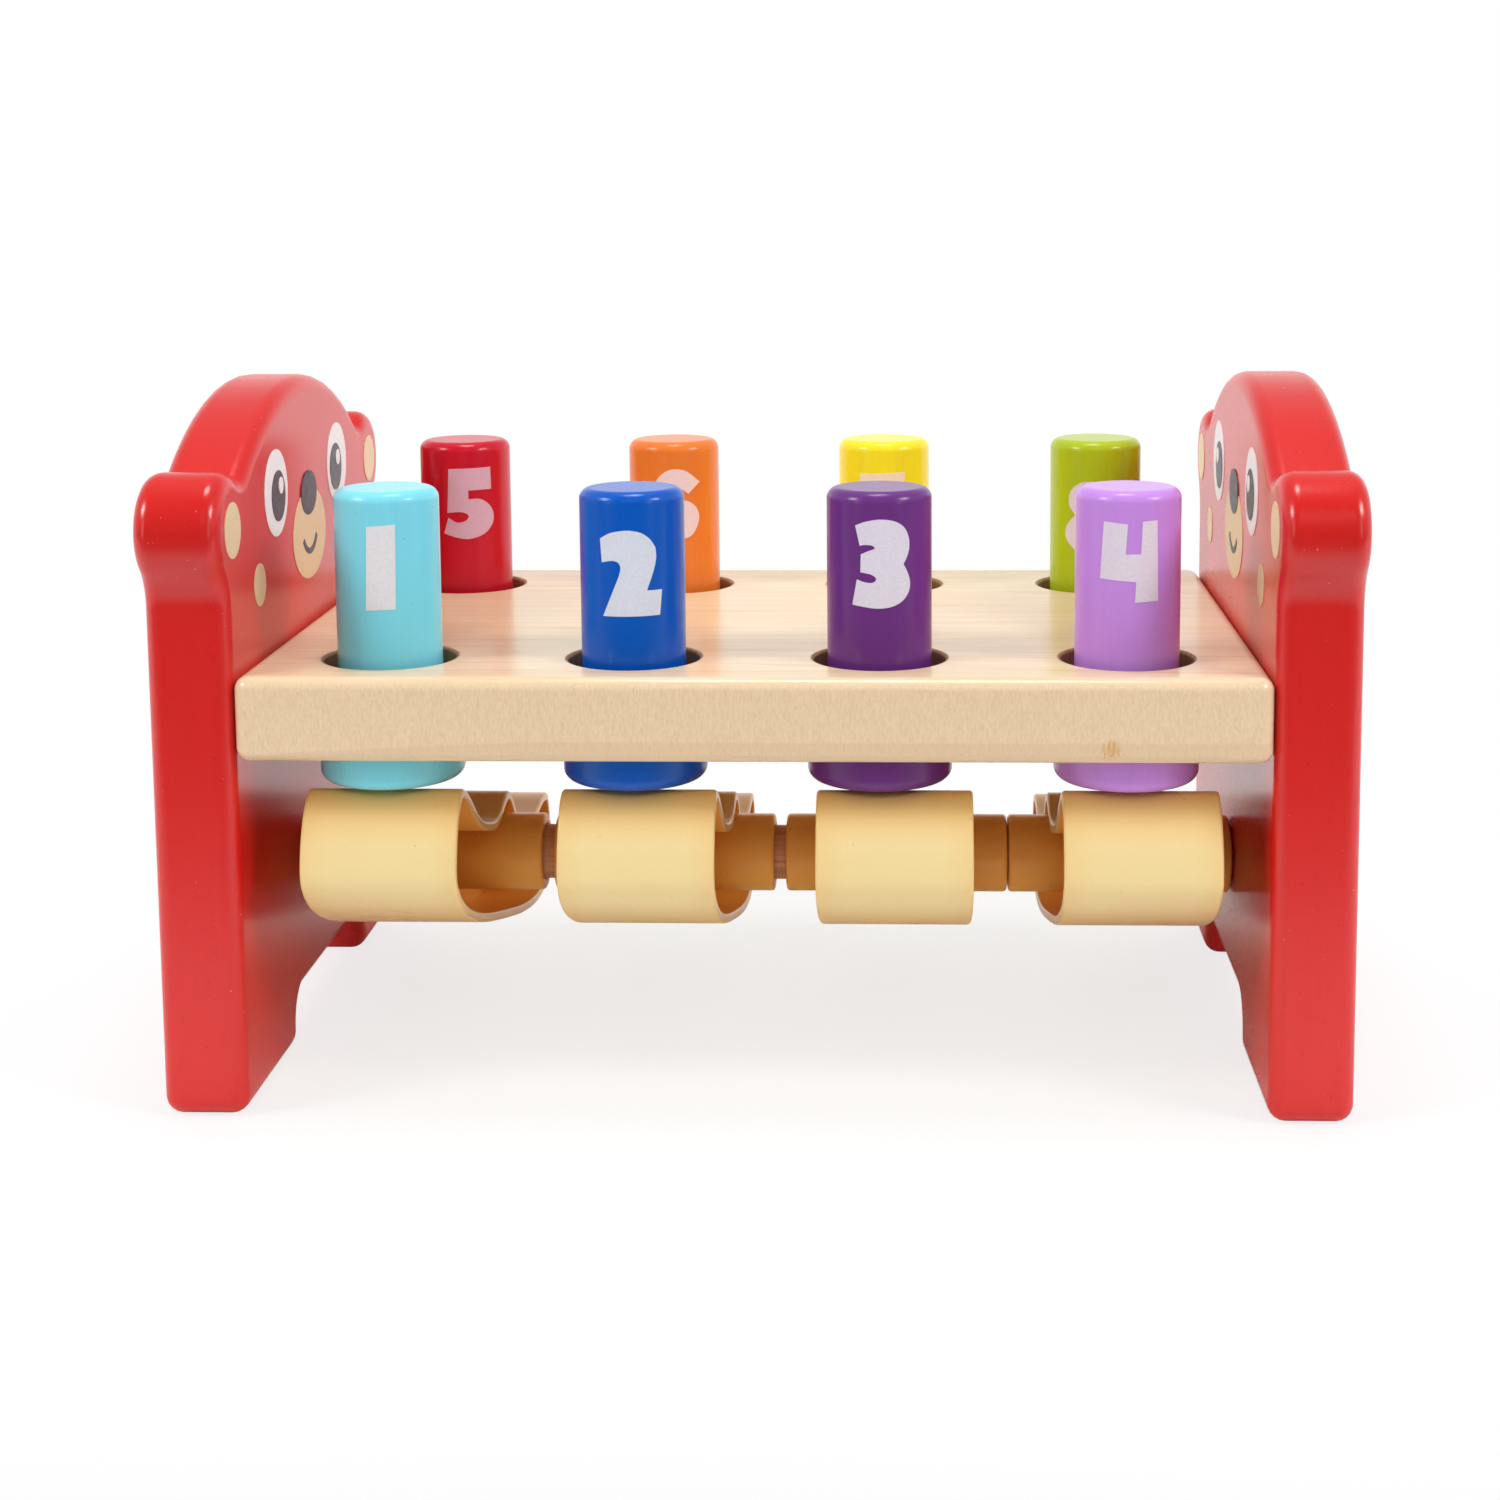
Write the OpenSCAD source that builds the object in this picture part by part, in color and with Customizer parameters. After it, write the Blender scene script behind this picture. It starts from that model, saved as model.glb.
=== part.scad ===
// Wooden pounding bench: two head-shaped end panels carry a board with eight loose pegs in two rows.
// Under the board four see-saw rockers swing on one axle, so a peg knocked down lifts its partner.
// X runs along the board, -Y is the front, +Z is up. The origin lies on the floor under the middle.
// Millimetres throughout.

/* [Board] */
// Depth of the board, front to back, and of the panels' legs
board_depth = 132; // [116:1:160]
// Thickness of the board
board_thickness = 17; // [13:0.5:21]
// Height of the board's underside above the floor
board_underside = 73; // [65:1:90]
// Radius of the board's long edges
board_edge_radius = 3; // [1:0.5:5]
// Distance between neighbouring peg holes in a row
hole_pitch = 50; // [42:0.5:60]
// Distance from the last hole in a row to the end of the board
end_margin = 27; // [22:0.5:34]
// Distance from a row of holes to the edge of the board
row_margin = 22; // [20:0.5:26]

/* [Pegs] */
// Diameter of a peg above its foot
peg_diameter = 21.2; // [17:0.1:26]
// Play between a peg and its hole, all round
hole_play = 2.75; // [1.5:0.05:3.5]
// Ledge by which a peg's foot is wider than its hole, all round
foot_ledge = 1.35; // [1:0.05:3]
// Thickness of the foot
foot_thickness = 7.5; // [6:0.5:10]
// How far a raised peg stands above the board
peg_rise = 35; // [30:1:45]
// Radius of a peg's top edge
peg_top_radius = 2.3; // [1:0.1:4]
// Radius of the foot's lower edge
foot_edge_radius = 2.4; // [1:0.1:4]
// Gap between a raised foot and the board
foot_gap = 0.3; // [0.2:0.05:0.8]

/* [Rockers] */
// Width of a rocker along the axle
rocker_width = 31.4; // [24:0.2:38]
// How far the crest of each end lies beyond its row of pegs
crest_overreach = 12.5; // [10:0.5:14]
// How far the rounded tip lies beyond the crest
tip_round = 7.5; // [6:0.5:10]
// Height of the three crests above the axle
crest_height = 13.4; // [12.8:0.1:16]
// Height of the two valleys above the axle
valley_height = 6.6; // [5:0.1:8]
// Distance from the axle to the bottom of a valley, as a share of the distance to the crest
valley_place = 0.39; // [0.36:0.01:0.5]
// How narrow the crests are: one for an even wave, more for wide valleys
crest_sharpness = 1.7; // [1:0.1:2]
// Depth of the belly below the axle
belly_depth = 15; // [13:0.1:18]
// How square the belly is: two for an ellipse, more for a flatter bottom with tighter ends
belly_squareness = 3; // [2:0.1:4]
// Thickness of the moulded wall
rocker_wall = 2; // [1.5:0.1:2.6]
// Thickness of the web that ties the hub to the wall
web_thickness = 2.4; // [1.6:0.1:4]
// Tilt of a rocker with its front end up
rocker_tilt = 15; // [10:0.5:18]
// Gap between a raised crest and the peg's foot
crest_gap = 0.9; // [0.5:0.05:1.5]
// Gap between the hubs of the third and fourth rocker, and between the fourth and its panel
hub_gap = 0.3; // [0.3:0.05:1]
// Gap between the hubs of the first three rockers, and between the first and its panel
loose_gap = 2.6; // [0.3:0.1:4]

/* [Axle] */
// Diameter of the axle
axle_diameter = 12; // [10:0.1:14.4]
// Play between the axle and a hub's bore, on the radius
axle_play = 0.3; // [0.1:0.05:0.6]
// Wall of a hub around its bore
hub_wall = 2.25; // [1.6:0.05:2.6]
// Depth to which the axle is let into each panel
axle_seat = 10; // [6:0.5:12]

/* [Panels] */
// Thickness of an end panel
panel_thickness = 17; // [15:0.5:21]
// Height of the top of the head above the board
head_rise = 54; // [48:1:66]
// Radius of the head's curve
head_radius = 88; // [84:1:94]
// Radius of an ear
ear_radius = 11.5; // [10.5:0.1:13]
// How far an ear stands out past the leg
ear_overhang = 6; // [4:0.1:7]
// How far an ear's centre lies below the top of the head
ear_drop = 25.5; // [23:0.5:28]
// Radius of the hollow under an ear
neck_radius = 10; // [8:0.5:14]
// Radius of the hollow between an ear and the head
nape_radius = 4; // [2:0.5:6]
// Length of the front foot
front_foot = 43; // [34:1:52]
// Length of the back foot
back_foot = 27; // [22:1:36]
// Height of the arch between the feet
arch_height = 10.5; // [10:0.5:14]
// Radius of the arch's upper corners
arch_radius = 6; // [3:0.5:6.5]
// Radius of the feet's corners
foot_corner_radius = 4; // [1:0.5:4]

/* [Fasteners] */
// Diameter of a screw's shank
screw_diameter = 4; // [3:0.1:5]
// Diameter of a screw's head
screw_head_diameter = 8; // [7:0.1:9.6]
// How far a screw reaches into the board
screw_reach = 24; // [16:0.5:30]
// Length of each arm of the cross cut in a screw's head
slot_length = 4.4; // [3:0.1:6]
// Width of the cross cut in a screw's head
slot_width = 1; // [0.6:0.1:1.4]
// Depth of the cross cut in a screw's head
slot_depth = 1.2; // [0.8:0.1:1.6]
// Diameter of the plug over a screw
cap_diameter = 10; // [9.8:0.1:13]
// Thickness of the plug over a screw
cap_thickness = 3.5; // [2.5:0.1:4.5]
// Diameter of a locating dowel
dowel_diameter = 6; // [5:0.1:7]
// How far a dowel reaches into the board, and into the panel
dowel_reach = 11; // [8:0.5:12]
// Distance of a dowel from the edge of the board
dowel_margin = 7; // [6:0.5:9]
// Fitting clearance of fasteners and of the axle's seats, on the radius
fit_clearance = 0.05; // [0.02:0.01:0.1]

/* [Hidden] */

round_steps = 96;
arc_step = 6;
wave_steps = 66;
end_steps = 10;
belly_steps = 14;
cut_margin = 1;
holes_in_row = 4;

board_length = (holes_in_row - 1) * hole_pitch + 2 * end_margin;
row_spacing = board_depth - 2 * row_margin;
inner_face = board_length / 2;
leg = board_depth / 2;
board_top = board_underside + board_thickness;
board_middle = board_underside + board_thickness / 2;
hole_diameter = peg_diameter + 2 * hole_play;
foot_diameter = hole_diameter + 2 * foot_ledge;
peg_height = foot_thickness + foot_gap + board_thickness + peg_rise;
foot_underside = board_underside - foot_gap - foot_thickness;

crest_reach = row_spacing / 2 + crest_overreach;
tip_reach = crest_reach + tip_round;
valley_reach = valley_place * crest_reach;

// Highest point that a raised end reaches above the axle, which sets the height of the axle
raised_crest = max([for (p = rocker_profile()) p[1] * cos(rocker_tilt) - p[0] * sin(rocker_tilt)]);
axle_height = foot_underside - crest_gap - raised_crest;

// The fourth rocker and the third sit close against the right-hand panel, the others more loosely
loose_gaps = holes_in_row - 1;
hub_length = (board_length - 2 * hub_gap - loose_gaps * loose_gap) / holes_in_row;
fourth_hub = inner_face - hub_gap - hub_length / 2;
third_hub = fourth_hub - hub_gap - hub_length;
second_hub = third_hub - loose_gap - hub_length;
first_hub = second_hub - loose_gap - hub_length;
hub_x = [first_hub, second_hub, third_hub, fourth_hub];
bore_diameter = axle_diameter + 2 * axle_play;
hub_diameter = bore_diameter + 2 * hub_wall;

head_top = board_top + head_rise;
ear_height = head_top - ear_drop;
ear_y = leg + ear_overhang - ear_radius;
screw_head_height = (screw_head_diameter - screw_diameter) / 2;
screw_offset = row_spacing / 4;
dowel_offset = leg - dowel_margin;

// Points on an arc about a centre, from one angle to another
function arc(centre, radius, from, to) =
  let (steps = ceil(abs(to - from) / arc_step))
  [for (i = [0:steps]) centre + radius * [cos(from + (to - from) * i / steps),
                                          sin(from + (to - from) * i / steps)]];

function reversed(points) = [for (i = [len(points) - 1:-1:0]) points[i]];
function flipped(points) = [for (p = points) [-p[0], p[1]]];

// Angle of the direction from one point to another
function heading(a, b) = atan2(b[1] - a[1], b[0] - a[0]);

// Centre of a circle that touches two others from outside, above the line from a to b
function touching(a, ra, b, rb, r) =
  let (span = norm(b - a))
  let (side = ra + r)
  let (other = rb + r)
  let (turn = acos((span * span + side * side - other * other) / (2 * span * side)))
  a + side * [cos(heading(a, b) + turn), sin(heading(a, b) + turn)];

// One half of the panel's edge above the feet, from the leg up over the ear to the top of the head
function panel_side() =
  let (ear = [ear_y, ear_height])
  let (head = [0, head_top - head_radius])
  let (neck_y = leg + neck_radius)
  let (neck_drop = sqrt(pow(ear_radius + neck_radius, 2) - pow(neck_y - ear_y, 2)))
  let (neck = [neck_y, ear_height - neck_drop])
  let (nape = touching(head, head_radius, ear, ear_radius, nape_radius))
  concat(
    arc(neck, neck_radius, 180, heading(neck, ear)),
    arc(ear, ear_radius, heading(ear, neck), heading(ear, nape)),
    arc(nape, nape_radius, heading(nape, ear) + 360, heading(nape, head) + 360),
    arc(head, head_radius, heading(head, nape), 90)
  );

// The feet and the arch between them, from the front of the panel to the back
function panel_feet() =
  let (r = foot_corner_radius)
  let (a = arch_radius)
  let (front = front_foot - leg)
  let (back = leg - back_foot)
  concat(
    arc([r - leg, r], r, 180, 270),
    arc([front - r, r], r, 270, 360),
    arc([front + a, arch_height - a], a, 180, 90),
    arc([back - a, arch_height - a], a, 90, 0),
    arc([back + r, r], r, 180, 270),
    arc([leg - r, r], r, 270, 360)
  );

module panel_outline() {
  polygon(concat(panel_feet(), panel_side(), reversed(flipped(panel_side()))));
}

// How far a place on a rocker's back lies from its nearest crest: zero on the crest, one in the valley
function from_crest(y) =
  abs(y) < valley_reach ? abs(y) / valley_reach : (crest_reach - abs(y)) / (crest_reach - valley_reach);

// Height of a rocker's wavy back above the axle, at a distance along the rocker
function wave(y) =
  let (rise = pow((1 + cos(180 * from_crest(y))) / 2, crest_sharpness))
  valley_height + (crest_height - valley_height) * rise;

// The back end of a rocker, from its crest round the tip and along the belly, short of the middle
function rocker_end() = concat(
  [for (i = [1:end_steps]) let (t = 90 * i / end_steps)
    [crest_reach + (tip_reach - crest_reach) * sin(t), crest_height * cos(t)]],
  [for (i = [1:belly_steps - 1]) let (t = 90 * i / belly_steps) let (power = 2 / belly_squareness)
    [tip_reach * pow(cos(t), power), -belly_depth * pow(sin(t), power)]]
);

// Outline of a level rocker about its axle, clockwise from the front crest
function rocker_profile() = concat(
  [for (i = [0:wave_steps]) let (y = crest_reach * (2 * i / wave_steps - 1)) [y, wave(y)]],
  rocker_end(),
  [[0, -belly_depth]],
  reversed(flipped(rocker_end()))
);

// A clockwise outline moved inwards by a wall
function inset(points, wall) =
  let (last = len(points) - 1)
  [for (i = [0:last])
    let (along = points[i == last ? 0 : i + 1] - points[i == 0 ? last : i - 1])
    points[i] + wall * [along[1], -along[0]] / norm(along)];

// Lays a side view out along X, centred on zero
module across(width) {
  rotate([90, 0, 90])
    translate([0, 0, -width / 2])
      linear_extrude(width)
        children();
}

// A plain round bar along X, from one end to the other
module bar(diameter, from, to) {
  translate([from, 0, 0])
    rotate([0, 90, 0])
      cylinder(d = diameter, h = to - from, $fn = round_steps);
}

module at_screws() {
  for (side = [-1, 1])
    translate([0, side * screw_offset, board_middle]) children();
}

module at_dowels() {
  for (side = [-1, 1])
    translate([0, side * dowel_offset, board_middle]) children();
}

// A countersunk screw that points along +X, with the end of its head at zero
module screw_body(length, extra) {
  rotate([0, 90, 0])
    rotate_extrude($fn = round_steps)
      polygon([
        [0, 0],
        [screw_head_diameter / 2 + extra, 0],
        [screw_diameter / 2 + extra, screw_head_height],
        [screw_diameter / 2 + extra, length],
        [0, length]
      ]);
}

// Screw length from its head to its point
function screw_length() = panel_thickness - cap_thickness + screw_reach;

// The right-hand fasteners, which the left-hand side mirrors
module side_screws() {
  translate([inner_face + panel_thickness - cap_thickness, 0, 0])
    mirror([1, 0, 0])
      at_screws()
        difference() {
          screw_body(screw_length(), 0);
          for (turn = [0, 90])
            rotate([turn, 0, 0])
              translate([slot_depth / 2, 0, 0])
                cube([slot_depth, slot_length, slot_width], center = true);
        }
}

module side_caps() {
  at_screws()
    bar(cap_diameter, inner_face + panel_thickness - cap_thickness, inner_face + panel_thickness);
}

module side_dowels() {
  at_dowels()
    bar(dowel_diameter, inner_face - dowel_reach, inner_face + dowel_reach);
}

// The right-hand end panel, which the left-hand one mirrors
module side_panel() {
  clear = 2 * fit_clearance;
  outer_face = inner_face + panel_thickness;
  head_seat = outer_face - cap_thickness;
  color("crimson")
    difference() {
      translate([inner_face + panel_thickness / 2, 0, 0])
        across(panel_thickness)
          panel_outline();
      translate([0, 0, axle_height])
        bar(axle_diameter + clear, inner_face - cut_margin, inner_face + axle_seat + fit_clearance);
      at_dowels()
        bar(dowel_diameter + clear, inner_face - cut_margin, inner_face + dowel_reach + fit_clearance);
      at_screws()
        bar(cap_diameter + clear, head_seat, outer_face + cut_margin);
      at_screws()
        translate([head_seat, 0, 0])
          mirror([1, 0, 0])
            screw_body(screw_length(), fit_clearance);
    }
}

module board_section() {
  half_depth = board_depth / 2;
  half_thick = board_thickness / 2;
  r = board_edge_radius;
  polygon(concat(
    arc([r - half_depth, r - half_thick], r, 180, 270),
    arc([half_depth - r, r - half_thick], r, 270, 360),
    arc([half_depth - r, half_thick - r], r, 0, 90),
    arc([r - half_depth, half_thick - r], r, 90, 180)
  ));
}

// Centre of a peg hole along X, by its place in the row
function hole_x(place) = (place - (holes_in_row - 1) / 2) * hole_pitch;

module board() {
  clear = 2 * fit_clearance;
  color("burlywood")
    difference() {
      translate([0, 0, board_middle])
        across(board_length)
          board_section();
      for (place = [0:holes_in_row - 1], side = [-1, 1])
        translate([hole_x(place), side * row_spacing / 2, board_underside - cut_margin])
          cylinder(d = hole_diameter, h = board_thickness + 2 * cut_margin, $fn = round_steps);
      for (end = [0, 1])
        mirror([end, 0, 0]) {
          at_dowels()
            bar(dowel_diameter + clear, inner_face - dowel_reach - fit_clearance, inner_face + cut_margin);
          at_screws()
            bar(screw_diameter + clear, inner_face - screw_reach - fit_clearance, inner_face + cut_margin);
        }
    }
}

module right_panel() {
  side_panel();
}

module left_panel() {
  mirror([1, 0, 0]) side_panel();
}

module axle() {
  color("saddlebrown")
    translate([0, 0, axle_height])
      bar(axle_diameter, -inner_face - axle_seat, inner_face + axle_seat);
}

// A rocker with its front end up, by its place along the axle
module rocker(place) {
  pocket_depth = (rocker_width - web_thickness) / 2;
  color("khaki")
    translate([hub_x[place], 0, axle_height])
      rotate([-rocker_tilt, 0, 0])
        difference() {
          union() {
            difference() {
              across(rocker_width)
                polygon(rocker_profile());
              for (side = [-1, 1])
                translate([side * (web_thickness + pocket_depth + cut_margin) / 2, 0, 0])
                  across(pocket_depth + cut_margin)
                    polygon(inset(rocker_profile(), rocker_wall));
            }
            bar(hub_diameter, -hub_length / 2, hub_length / 2);
          }
          bar(bore_diameter, -hub_length / 2 - cut_margin, hub_length / 2 + cut_margin);
        }
}

// A peg with its foot, standing on zero
module peg_turning() {
  peg_radius = peg_diameter / 2;
  foot_radius = foot_diameter / 2;
  t = peg_top_radius;
  f = foot_edge_radius;
  rotate_extrude($fn = round_steps)
    polygon(concat(
      [[0, 0]],
      arc([foot_radius - f, f], f, 270, 360),
      [[foot_radius, foot_thickness], [peg_radius, foot_thickness]],
      arc([peg_radius - t, peg_height - t], t, 0, 90),
      [[0, peg_height]]
    ));
}

// A raised peg, by its place in the row and its side: -1 for the front row, 1 for the back row
module peg(place, side, paint) {
  color(paint)
    translate([hole_x(place), side * row_spacing / 2, foot_underside])
      peg_turning();
}

module peg_1() { peg(0, -1, "skyblue"); }
module peg_2() { peg(1, -1, "royalblue"); }
module peg_3() { peg(2, -1, "indigo"); }
module peg_4() { peg(3, -1, "plum"); }
module peg_5() { peg(0, 1, "firebrick"); }
module peg_6() { peg(1, 1, "darkorange"); }
module peg_7() { peg(2, 1, "yellow"); }
module peg_8() { peg(3, 1, "yellowgreen"); }

module rocker_1() { rocker(0); }
module rocker_2() { rocker(1); }
module rocker_3() { rocker(2); }
module rocker_4() { rocker(3); }

module right_screws() { color("silver") side_screws(); }
module left_screws() { color("silver") mirror([1, 0, 0]) side_screws(); }
module right_screw_caps() { color("crimson") side_caps(); }
module left_screw_caps() { color("crimson") mirror([1, 0, 0]) side_caps(); }
module right_locating_dowels() { color("wheat") side_dowels(); }
module left_locating_dowels() { color("wheat") mirror([1, 0, 0]) side_dowels(); }

board();
left_panel();
right_panel();
axle();
rocker_1();
rocker_2();
rocker_3();
rocker_4();
peg_1();
peg_2();
peg_3();
peg_4();
peg_5();
peg_6();
peg_7();
peg_8();
left_screws();
right_screws();
left_locating_dowels();
right_locating_dowels();
left_screw_caps();
right_screw_caps();
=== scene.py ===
"""Looks of the wooden pounding bench: painted panels, pale board, numbered pegs and moulded rockers.

Lengths are in millimetres and are turned into metres where a point is made. X runs along the board,
-Y is the front and +Z is up, as in the frame.
"""

import math

import bmesh
import bpy
from mathutils import Matrix, Vector


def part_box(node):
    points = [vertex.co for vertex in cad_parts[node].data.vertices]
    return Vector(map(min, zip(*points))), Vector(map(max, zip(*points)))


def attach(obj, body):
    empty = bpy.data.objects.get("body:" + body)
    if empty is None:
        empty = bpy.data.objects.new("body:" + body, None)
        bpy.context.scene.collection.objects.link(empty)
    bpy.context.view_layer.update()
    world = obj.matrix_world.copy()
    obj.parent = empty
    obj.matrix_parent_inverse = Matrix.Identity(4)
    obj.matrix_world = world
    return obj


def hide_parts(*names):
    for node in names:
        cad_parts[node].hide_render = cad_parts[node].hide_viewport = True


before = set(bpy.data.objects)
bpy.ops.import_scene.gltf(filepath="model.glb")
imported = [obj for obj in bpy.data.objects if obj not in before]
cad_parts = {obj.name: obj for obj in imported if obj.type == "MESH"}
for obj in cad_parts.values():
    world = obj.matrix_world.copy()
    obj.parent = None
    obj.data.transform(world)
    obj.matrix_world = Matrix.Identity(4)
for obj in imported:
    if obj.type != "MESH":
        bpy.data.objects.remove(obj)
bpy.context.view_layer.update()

MM = 0.001
X_AXIS = 0
Z_AXIS = 2

# Degrees between points of an arc, lengths below which points count as one, and the angle of a sharp edge
CURVE_STEP = 5.0
SAME_POINT = 0.001
SMALLEST_EDGE = 0.02
SHARP_ANGLE = 35.0

# Points on a full circle, steps across a rounded edge and steps between two points of a soft curve
LARGE_ROUND = 72
HUB_ROUND = 64
MEDIUM_ROUND = 48
SMALL_ROUND = 32
TINY_ROUND = 24
BROAD_EDGE = 5
NARROW_EDGE = 4
TINY_EDGE = 3
RUN_STEPS = 7

# Panels
PANEL_EDGE_RADIUS = 3.5
HEAD_RADIUS = 88.0
EAR_RADIUS = 11.5
EAR_DROP = 25.5
NECK_RADIUS = 10.0
NAPE_RADIUS = 4.0
FRONT_FOOT = 43.0
BACK_FOOT = 27.0
ARCH_HEIGHT = 10.5
ARCH_RADIUS = 6.0
FOOT_CORNER_RADIUS = 4.0
PLUG_CLEARANCE = 0.05
PLUG_RIM_EASE = 0.35

# Board
BOARD_EDGE_RADIUS = 2.6
BOARD_CORNER_RADIUS = 3.0
BOARD_END_GAP = 0.05
HOLE_RADIUS = 13.35
HOLE_RIM_EASE = 0.7
GROWTH_LINE_LOW = 74.8
GROWTH_LINE_HIGH = 77.4
GROWTH_LINE_START = -100.0
GROWTH_LINE_END = -45.0
GROWTH_LINE_BLUR = (0.3, 0.2)
STAIN_PLACE = (70.3, -66.0, 76.0)
STAIN_RADIUS = 2.2
STAIN_CORE = 0.4
STAIN_RAGGEDNESS = 1.2

# Pegs
PEG_NUMBERS = range(1, 9)
PEG_RADIUS = 10.6

# Rockers
ROCKER_NUMBERS = range(1, 5)
ROCKER_TILT = 15.0
ROCKER_WIDTH = 31.4
CREST_REACH = 56.5
TIP_REACH = 64.0
CREST_HEIGHT = 13.4
VALLEY_HEIGHT = 6.6
VALLEY_SHARE = 0.39
VALLEY_REACH = VALLEY_SHARE * CREST_REACH
CREST_SHARPNESS = 1.7
BELLY_DEPTH = 15.0
BELLY_SQUARENESS = 3.0
ROCKER_WALL = 2.0
WEB_THICKNESS = 2.4
RIM_EASE = 0.7
INNER_RIM_EASE = 0.4
WEB_FILLET = 1.0
HUB_RADIUS = 8.55
HUB_END_EASE = 0.8
BORE_RADIUS = 6.3
BORE_EASE = 0.5
WAVE_STEPS = 96
END_STEPS = 14
BELLY_STEPS = 32
# Heights and reach from which a rocker's colour goes over into painted shade
SHADE_BACK_FROM = 2.0
SHADE_BELLY_FROM = -10.0
SHADE_RIM_FROM = 10.0

# The surround's level in front of the bench, behind it and overhead, and the Y and the Z of the directions
# between which one goes over into the next
FRONT_LEVEL = 0.15
BACK_LEVEL = 1.0
OVERHEAD_LEVEL = 0.5
FRONT_TO_BACK = (-0.7, 0.2)
LEVEL_TO_OVERHEAD = (0.15, 0.6)

# The floor, in metres: where it is dark in front, where its shadow ends and where it mirrors white
FLOOR_HALF = 6.0
FLOOR_SQUARES = 8
DARK_BEFORE = -0.3
PALE_BEHIND = -0.16
SHADOW_NEAR = 0.1
SHADOW_FAR = 0.4
SHADOW_WHITE = 0.75
MIRROR_FROM = 0.1
MIRROR_FULL = 0.35

# Each lamp's place and its width and height in metres, its power in watts, and whether gloss mirrors it
LAMP_TARGET = (0.0, 0.0, 0.08)
LAMPS = {
    "front": ((0.1, -1.2, 0.9), (0.8, 0.5), 4.8, False),
    "left": ((-0.85, -0.45, 0.75), (0.28, 0.28), 5.0, True),
    "right": ((0.85, -0.45, 0.75), (0.28, 0.28), 5.0, True),
    "left_strip": ((-0.9, -0.9, 0.3), (0.1, 0.55), 0.9, True),
    "right_strip": ((0.9, -0.9, 0.3), (0.1, 0.55), 0.9, True),
    "top": ((0.0, 0.0, 1.2), (0.3, 0.3), 4.2, True),
    "back_left": ((-0.7, 1.0, 0.25), (0.4, 0.4), 3.0, False),
    "back_right": ((0.7, 1.0, 0.25), (0.4, 0.4), 3.0, False),
}

# The camera: lens, sensor and place in millimetres, angles in degrees, shift as a share of the picture
CAMERA_LENS = 58.30
CAMERA_SENSOR = 36.0
CAMERA_SHIFT = (-0.05, -0.18)
CAMERA_PLACE = (31.62, -528.75, 188.47)
CAMERA_YAW = -2.068
CAMERA_PITCH = 7.311
CAMERA_ROLL = -0.344

# Printed film: how deep it is sunk in the paint, and how far each layer stands proud
PRINT_SINK = 0.2
PRINT_LAYER = 0.12
NUMERAL_SLICE = 0.8


def srgb(red, green, blue):
    """A colour as it is seen, from 0 to 255, as the linear values that a shader takes."""
    parts = [value / 255 for value in (red, green, blue)]
    linear = [p / 12.92 if p <= 0.04045 else ((p + 0.055) / 1.055) ** 2.4 for p in parts]
    return (*linear, 1.0)


def shade(colour, factor):
    """A linear colour made darker or lighter."""
    return (*[min(1.0, part * factor) for part in colour[:3]], 1.0)


# Colours
PANEL_RED = srgb(208, 30, 26)
BOARD_DARK = srgb(228, 198, 157)
BOARD_PALE = srgb(234, 208, 172)
BOARD_LIGHT = srgb(241, 220, 188)
BAND_TAN = srgb(225, 192, 149)
LINE_BROWN = srgb(207, 168, 122)
PORE_BROWN = srgb(198, 154, 105)
EDGE_DARK = srgb(226, 198, 160)
EDGE_PALE = srgb(232, 205, 168)
EDGE_LIGHT = srgb(236, 212, 177)
GROWTH_TAN = srgb(216, 184, 148)
FLECK_BROWN = srgb(200, 160, 112)
STAIN_AMBER = srgb(214, 158, 78)
ROCKER_CREAM = srgb(238, 217, 160)
# Painted shade on the rockers: the warm tone of the cream's shaded parts, also used for its random mottle
ROCKER_MOTTLE_AND_SHADE = srgb(234, 186, 108)
# Painted shade on the rockers: a shaded copy of the cream for the pockets, web and hub, with its own warm
# tone
ROCKER_SHADED = srgb(254, 185, 84)
ROCKER_DEEP_MOTTLE_AND_SHADE = srgb(251, 187, 95)
# Painted shade inside the board's holes, on bare wood
HOLE_SHADE_BROWN = srgb(168, 126, 88)
AXLE_BROWN = srgb(220, 156, 111)
DOWEL_PALE = srgb(224, 198, 152)
SCREW_GREY = srgb(176, 176, 180)
PRINT_WHITE = srgb(240, 237, 240)
PRINT_DARK = srgb(62, 55, 66)
PRINT_TAN = srgb(230, 200, 156)
DUST_PALE = srgb(236, 190, 184)
WHITE = srgb(255, 255, 255)
FLOOR_PALE = (0.93, 0.93, 0.93, 1.0)
FLOOR_DARK = (0.15, 0.15, 0.15, 1.0)

# Each peg's paint, and the white ink of its numeral with a little of the paint showing through
PEG_PAINT = {
    "peg_1": (srgb(126, 217, 234), srgb(230, 229, 233)),
    "peg_2": (srgb(0, 86, 188), srgb(220, 224, 238)),
    "peg_3": (srgb(106, 48, 126), srgb(227, 220, 234)),
    "peg_4": (srgb(197, 139, 226), srgb(229, 217, 232)),
    "peg_5": (srgb(199, 20, 42), srgb(220, 176, 194)),
    "peg_6": (srgb(233, 124, 46), srgb(243, 214, 212)),
    "peg_7": (srgb(245, 226, 36), srgb(245, 225, 196)),
    "peg_8": (srgb(173, 192, 24), srgb(230, 212, 222)),
}


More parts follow.
